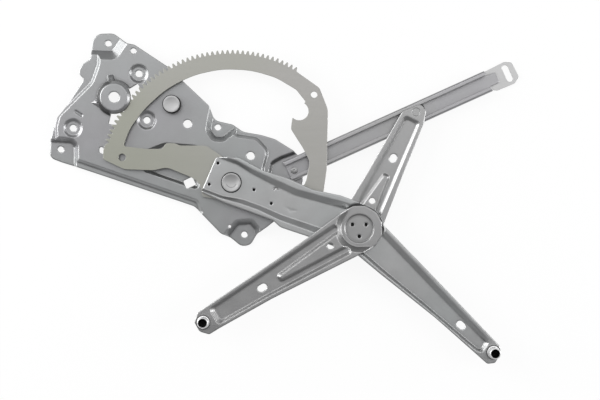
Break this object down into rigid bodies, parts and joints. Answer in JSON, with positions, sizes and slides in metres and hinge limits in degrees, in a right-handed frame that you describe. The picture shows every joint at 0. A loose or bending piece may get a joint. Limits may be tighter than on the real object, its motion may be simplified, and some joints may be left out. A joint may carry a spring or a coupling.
{
  "type": "window regulator",
  "caption": "Crossed-arm window regulator: pressed base plate with toothed sector, lift arm, equalizer arm, guide rail with slider, and guide studs; without motor.",
  "frame": {"origin": "centre of the left mounting hole, on the plane in which the mounting tabs bear", "axes": "+Z from the mounting plane towards the glass, +X along the part's length towards the lift arm's end, +Y towards the top tab"},
  "size_m": [0.5091, 0.3565, 0.041],
  "materials": {
    "zinc_plate": "zinc plated",
    "zinc_arm": "zinc plated",
    "sector_steel": "oiled blanked steel",
    "rivet_steel": "bright zinc",
    "rubber": "matt",
    "plastic": "moulded"
  },
  "bodies": {
    "base": {"base_plate": "zinc_plate", "guide_rail": "zinc_plate", "rail_bracket": "zinc_plate", "rail_rivet": "rivet_steel", "main_pivot_rivet": "rivet_steel", "main_pivot_washer": "plastic", "stop_stud": "rivet_steel", "stop_buffer": "rubber"},
    "lift_arm": {"sector_gear": "sector_steel", "lift_arm": "zinc_arm", "sector_rivets": "rivet_steel", "main_pivot_bush": "plastic", "lift_arm_stud": "rivet_steel"},
    "equalizer": {"equalizer_front": "zinc_arm", "equalizer_rear": "zinc_arm", "cross_pivot_rivets": "rivet_steel", "cross_pivot_washer": "plastic", "equalizer_stud": "rivet_steel", "slider_pin": "rivet_steel"},
    "slider": {"rail_slider": "plastic"}
  },
  "joints": [
    {"name": "main_pivot", "type": "hinge", "parent": "base", "child": "lift_arm", "pos_m": [0.186, -0.036, 0.017], "axis": [0, 0, 1], "range_deg": [-8, 79]},
    {"name": "cross_pivot", "type": "hinge", "parent": "lift_arm", "child": "equalizer", "pos_m": [0.32365, -0.08556, 0.018], "axis": [0, 0, 1], "range_deg": [-162, 17]},
    {"name": "slider_pivot", "type": "hinge", "parent": "equalizer", "child": "slider", "pos_m": [0.3848, 0.03982, 0.007], "axis": [0, 0, 1], "range_deg": [-9, 83]}
  ],
  "couplings": [
    {"joint": "cross_pivot", "follows": "main_pivot", "ratio": -2.05},
    {"joint": "slider_pivot", "follows": "main_pivot", "ratio": 1.05}
  ]
}
